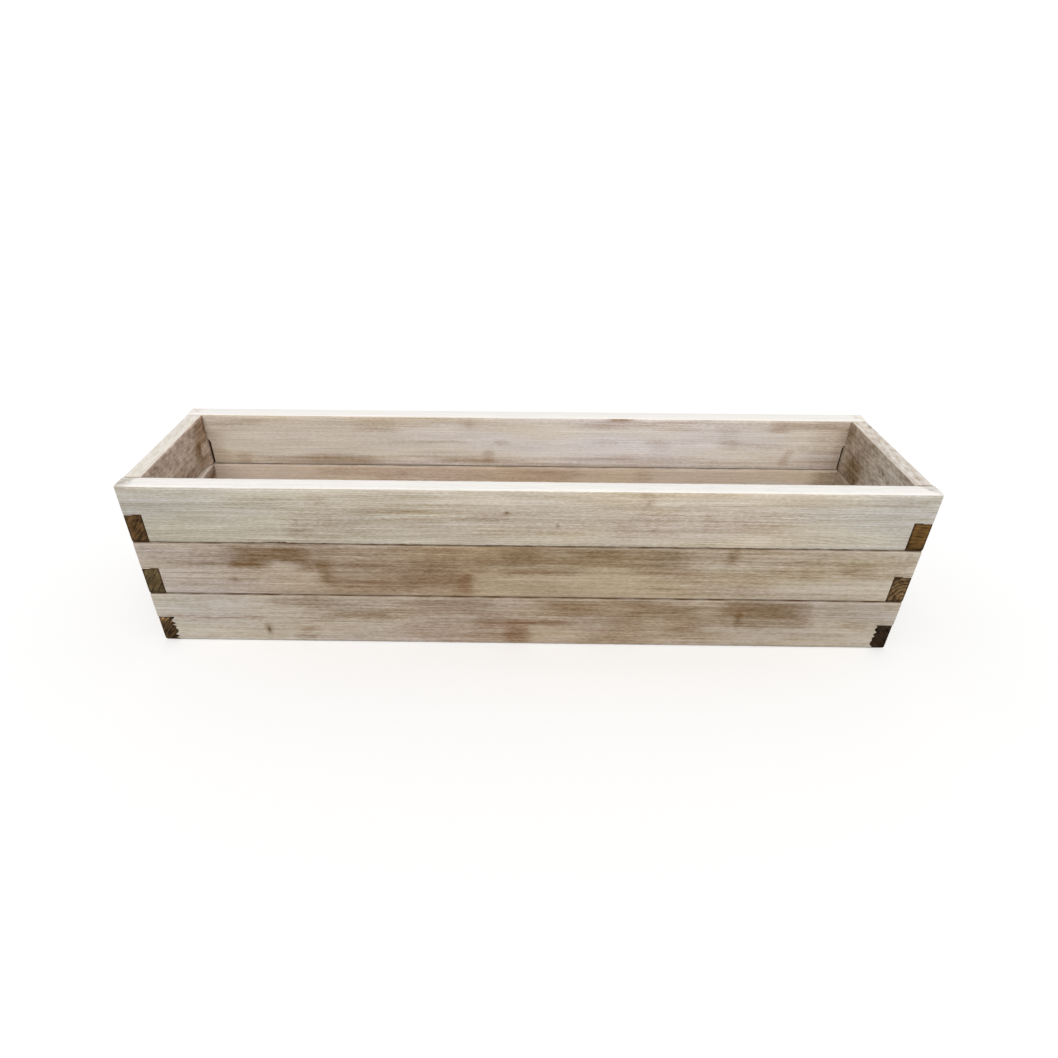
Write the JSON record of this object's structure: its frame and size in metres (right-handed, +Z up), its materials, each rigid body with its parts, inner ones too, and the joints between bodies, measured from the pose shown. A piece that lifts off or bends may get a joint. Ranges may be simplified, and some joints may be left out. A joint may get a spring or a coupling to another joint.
{
  "type": "raised garden bed",
  "caption": "Long rectangular raised garden bed of weathered softwood planks in stacked tiers, half-lapped and pinned at the corners, open at top and bottom.",
  "frame": {"origin": "on the ground, under the middle of the bed", "axes": "+X along the bed to its right end, +Y from the front to the back, +Z up"},
  "size_m": [1.8, 0.45, 0.435],
  "materials": {
    "wall_plank": "planed pressure-treated pine, washed and weathered pale",
    "end_plank": "planed pressure-treated pine, rougher and browner inside, dark end grain",
    "corner_pin": "galvanised rod"
  },
  "bodies": {
    "root": {"bottom_front_plank": "wall_plank", "bottom_back_plank": "wall_plank", "bottom_left_plank": "end_plank", "bottom_right_plank": "end_plank", "middle_front_plank": "wall_plank", "middle_back_plank": "wall_plank", "middle_left_plank": "end_plank", "middle_right_plank": "end_plank", "top_front_plank": "wall_plank", "top_back_plank": "wall_plank", "top_left_plank": "end_plank", "top_right_plank": "end_plank", "front_left_corner_pin": "corner_pin", "front_right_corner_pin": "corner_pin", "back_left_corner_pin": "corner_pin", "back_right_corner_pin": "corner_pin"}
  },
  "joints": []
}
